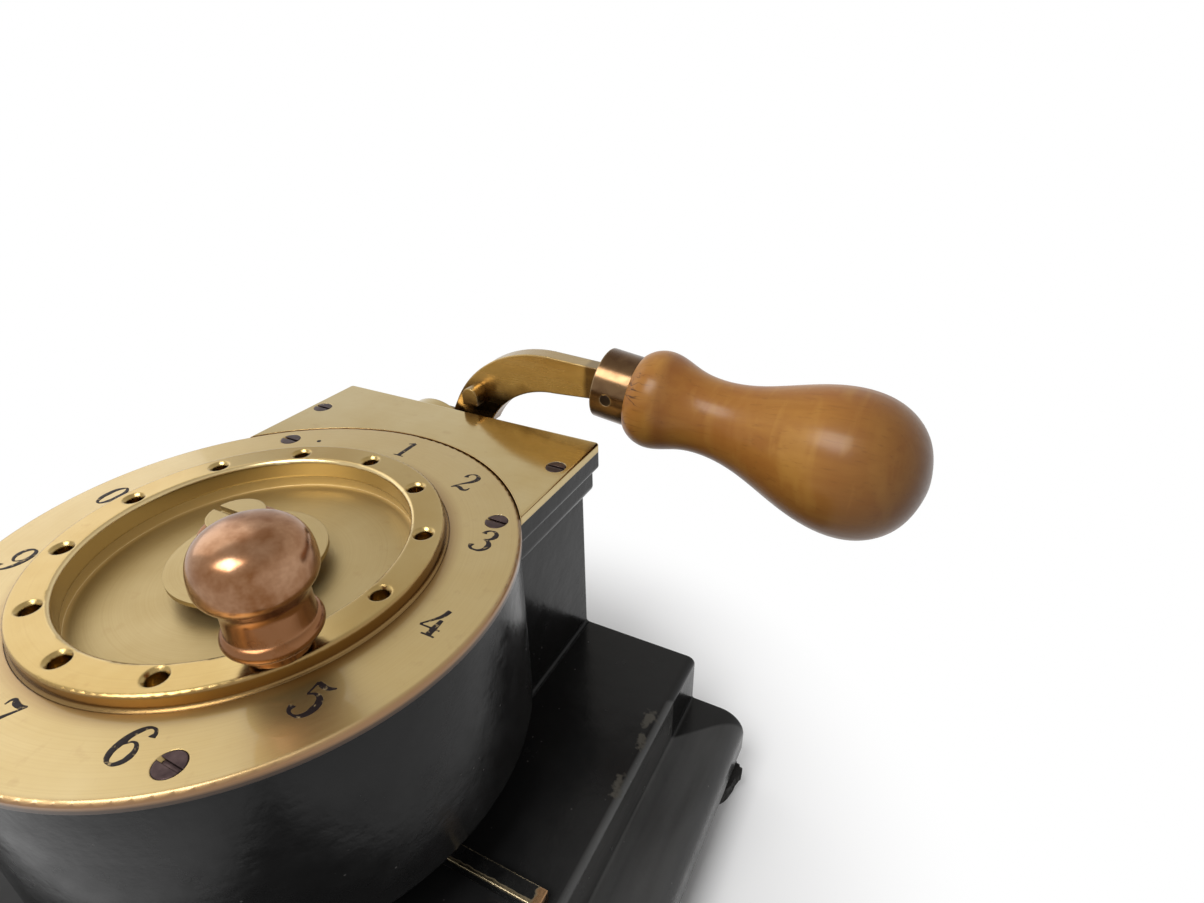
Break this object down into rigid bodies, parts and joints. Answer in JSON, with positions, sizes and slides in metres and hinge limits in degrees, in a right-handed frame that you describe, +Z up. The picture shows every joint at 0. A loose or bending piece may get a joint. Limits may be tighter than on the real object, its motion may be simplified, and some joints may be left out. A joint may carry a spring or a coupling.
{
  "type": "dial perforating press",
  "caption": "Desk press that perforates a chosen numeral in paper: dial with index knob, hand lever with wooden grip, C-shaped head over a moulded base.",
  "frame": {"origin": "on the standing plane, under the dial's axis", "axes": "+X to the lever handle's side, +Y to the back where the lever pivots, +Z up along the dial's axis"},
  "size_m": [0.2298, 0.2071, 0.1409],
  "materials": {
    "black_enamel": "gloss black enamel over cast iron, lightly worn",
    "brass_plate": "aged lacquered brass",
    "brass_light": "pale brushed brass",
    "bronze": "brown bronze, polished on the edges",
    "varnished_wood": "honey-brown varnished hardwood",
    "steel": "turned steel",
    "spring_steel": "drawn spring wire",
    "black_foot": "hard black rubber"
  },
  "bodies": {
    "frame": {"base_casting": "black_enamel", "sole_plate": "black_enamel", "sole_screws": "steel", "base_feet": "black_foot", "foot_screws": "steel", "body_casting": "black_enamel", "body_bolts": "steel", "cover_plate": "brass_plate", "cover_screws": "brass_plate", "number_dial": "brass_plate", "dial_screws": "brass_plate", "index_ring": "brass_plate", "dial_floor": "brass_light", "spindle_bushes": "bronze", "guide_plate": "steel", "guide_screws": "steel", "plunger_bush": "bronze", "shaft_bushes": "bronze", "pivot_bracket": "brass_plate", "bracket_screws": "steel", "die_plate": "steel", "die_screws": "steel", "paper_fence": "black_enamel", "fence_screws": "steel"},
    "lever": {"rock_shaft": "steel", "lever_arm": "brass_light", "lever_washer": "steel", "lever_nut": "steel", "stop_pin": "bronze", "ferrule": "bronze", "ferrule_pin": "steel", "wood_handle": "varnished_wood", "rocker_arm": "steel", "rocker_pin": "steel"},
    "plunger": {"plunger_rod": "steel", "presser": "steel", "return_spring": "spring_steel"},
    "selector": {"selector_spindle": "steel", "selector_hub": "brass_light", "selector_arm": "bronze", "hub_screw": "brass_light", "punch_wheel": "steel", "wheel_key": "steel", "wheel_nut": "steel", "idle_punches": "steel", "idle_springs": "spring_steel"},
    "punches": {"set_punches": "steel", "set_springs": "spring_steel"},
    "knob": {"index_knob": "bronze", "index_pin": "steel"}
  },
  "joints": [
    {"name": "lever_pull", "type": "hinge", "parent": "frame", "child": "lever", "pos_m": [-0.017, 0.089, 0.095], "axis": [0, 1, 0], "range_deg": [0, 23], "stiffness_Nm_per_rad": 0.75, "springref_deg": -22.92},
    {"name": "plunger_slide", "type": "slide", "parent": "frame", "child": "plunger", "axis": [0, 0, -1], "range_m": [0, 0.0067], "deforming": ["return_spring"]},
    {"name": "selector_turn", "type": "hinge", "parent": "frame", "child": "selector", "pos_m": [0, 0, 0.1], "axis": [0, 0, 1], "continuous": true},
    {"name": "punch_slide", "type": "slide", "parent": "selector", "child": "punches", "axis": [0, 0, -1], "range_m": [0, 0.0067], "deforming": ["set_springs"]},
    {"name": "knob_lift", "type": "slide", "parent": "selector", "child": "knob", "axis": [0, 0, 1], "range_m": [0, 0.006]}
  ],
  "couplings": [
    {"joint": "plunger_slide", "follows": "lever_pull", "m_per_rad": 0.016547},
    {"joint": "punch_slide", "follows": "lever_pull", "m_per_rad": 0.016547}
  ]
}
